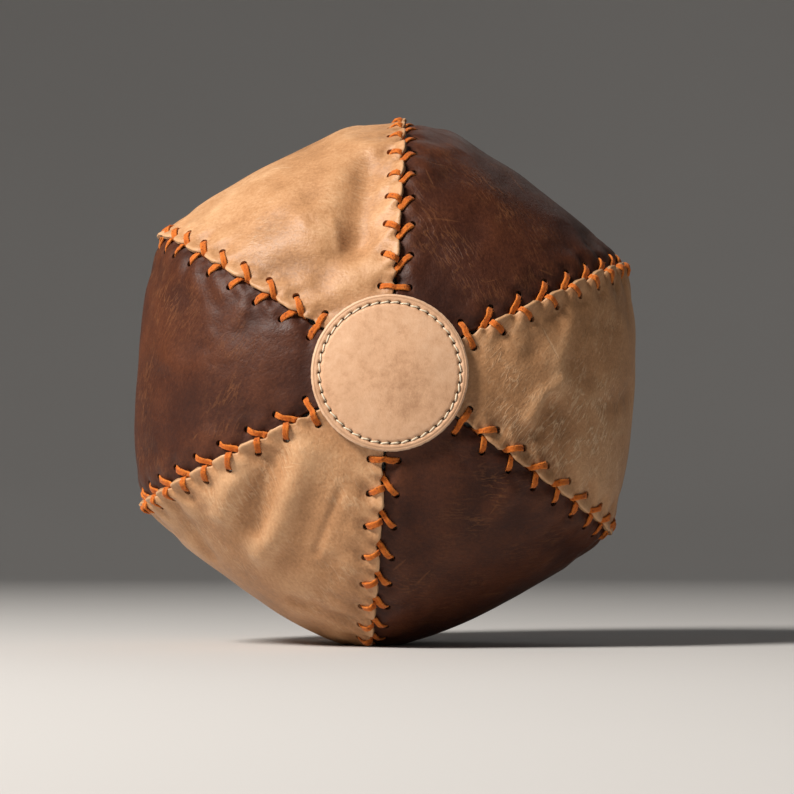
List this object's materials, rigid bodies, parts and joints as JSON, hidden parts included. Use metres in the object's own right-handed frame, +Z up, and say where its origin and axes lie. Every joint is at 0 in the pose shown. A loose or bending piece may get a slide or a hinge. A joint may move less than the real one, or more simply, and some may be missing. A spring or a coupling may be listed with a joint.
{
  "type": "medicine ball",
  "caption": "Leather medicine ball of six laced gores in two colours, with a round stitched patch at each pole and a packed textile filling, resting on a settled flat",
  "frame": {"origin": "Centre of the ball's footprint, on the surface that it rests on", "axes": "+Z up, +X to the right of the front patch, -Y out of the front patch along the pole axis"},
  "size_m": [0.2578, 0.2214, 0.2758],
  "materials": {
    "tan_leather": "pull-up cowhide, honey tan, mottled, soft waxed sheen, fine creases",
    "brown_leather": "pull-up cowhide, dark chestnut brown, paler where stretched, soft waxed sheen",
    "lace_leather": "orange split-leather lace, matt, napped edges",
    "patch_leather": "smooth natural vegetable-tanned leather, satin, pale cut edge",
    "waxed_thread": "off-white waxed linen thread",
    "canvas": "unbleached cotton canvas",
    "textile_scrap": "tightly packed textile scrap",
    "sand": "dry washed sand",
    "tie_cord": "cotton cord"
  },
  "bodies": {
    "root": {"panel_right": "tan_leather", "panel_upper_right": "brown_leather", "panel_upper_left": "tan_leather", "panel_left": "brown_leather", "panel_lower_left": "tan_leather", "panel_lower_right": "brown_leather", "lace_upper_right": "lace_leather", "lace_top": "lace_leather", "lace_upper_left": "lace_leather", "lace_lower_left": "lace_leather", "lace_bottom": "lace_leather", "lace_lower_right": "lace_leather", "liner_right": "canvas", "liner_upper_right": "canvas", "liner_upper_left": "canvas", "liner_left": "canvas", "liner_lower_left": "canvas", "liner_lower_right": "canvas", "patch_front": "patch_leather", "patch_back": "patch_leather", "patch_thread_front": "waxed_thread", "patch_thread_back": "waxed_thread", "packing_front": "textile_scrap", "packing_back": "textile_scrap", "pouch_cloth": "canvas", "pouch_sand": "sand", "pouch_tie": "tie_cord"}
  },
  "joints": []
}
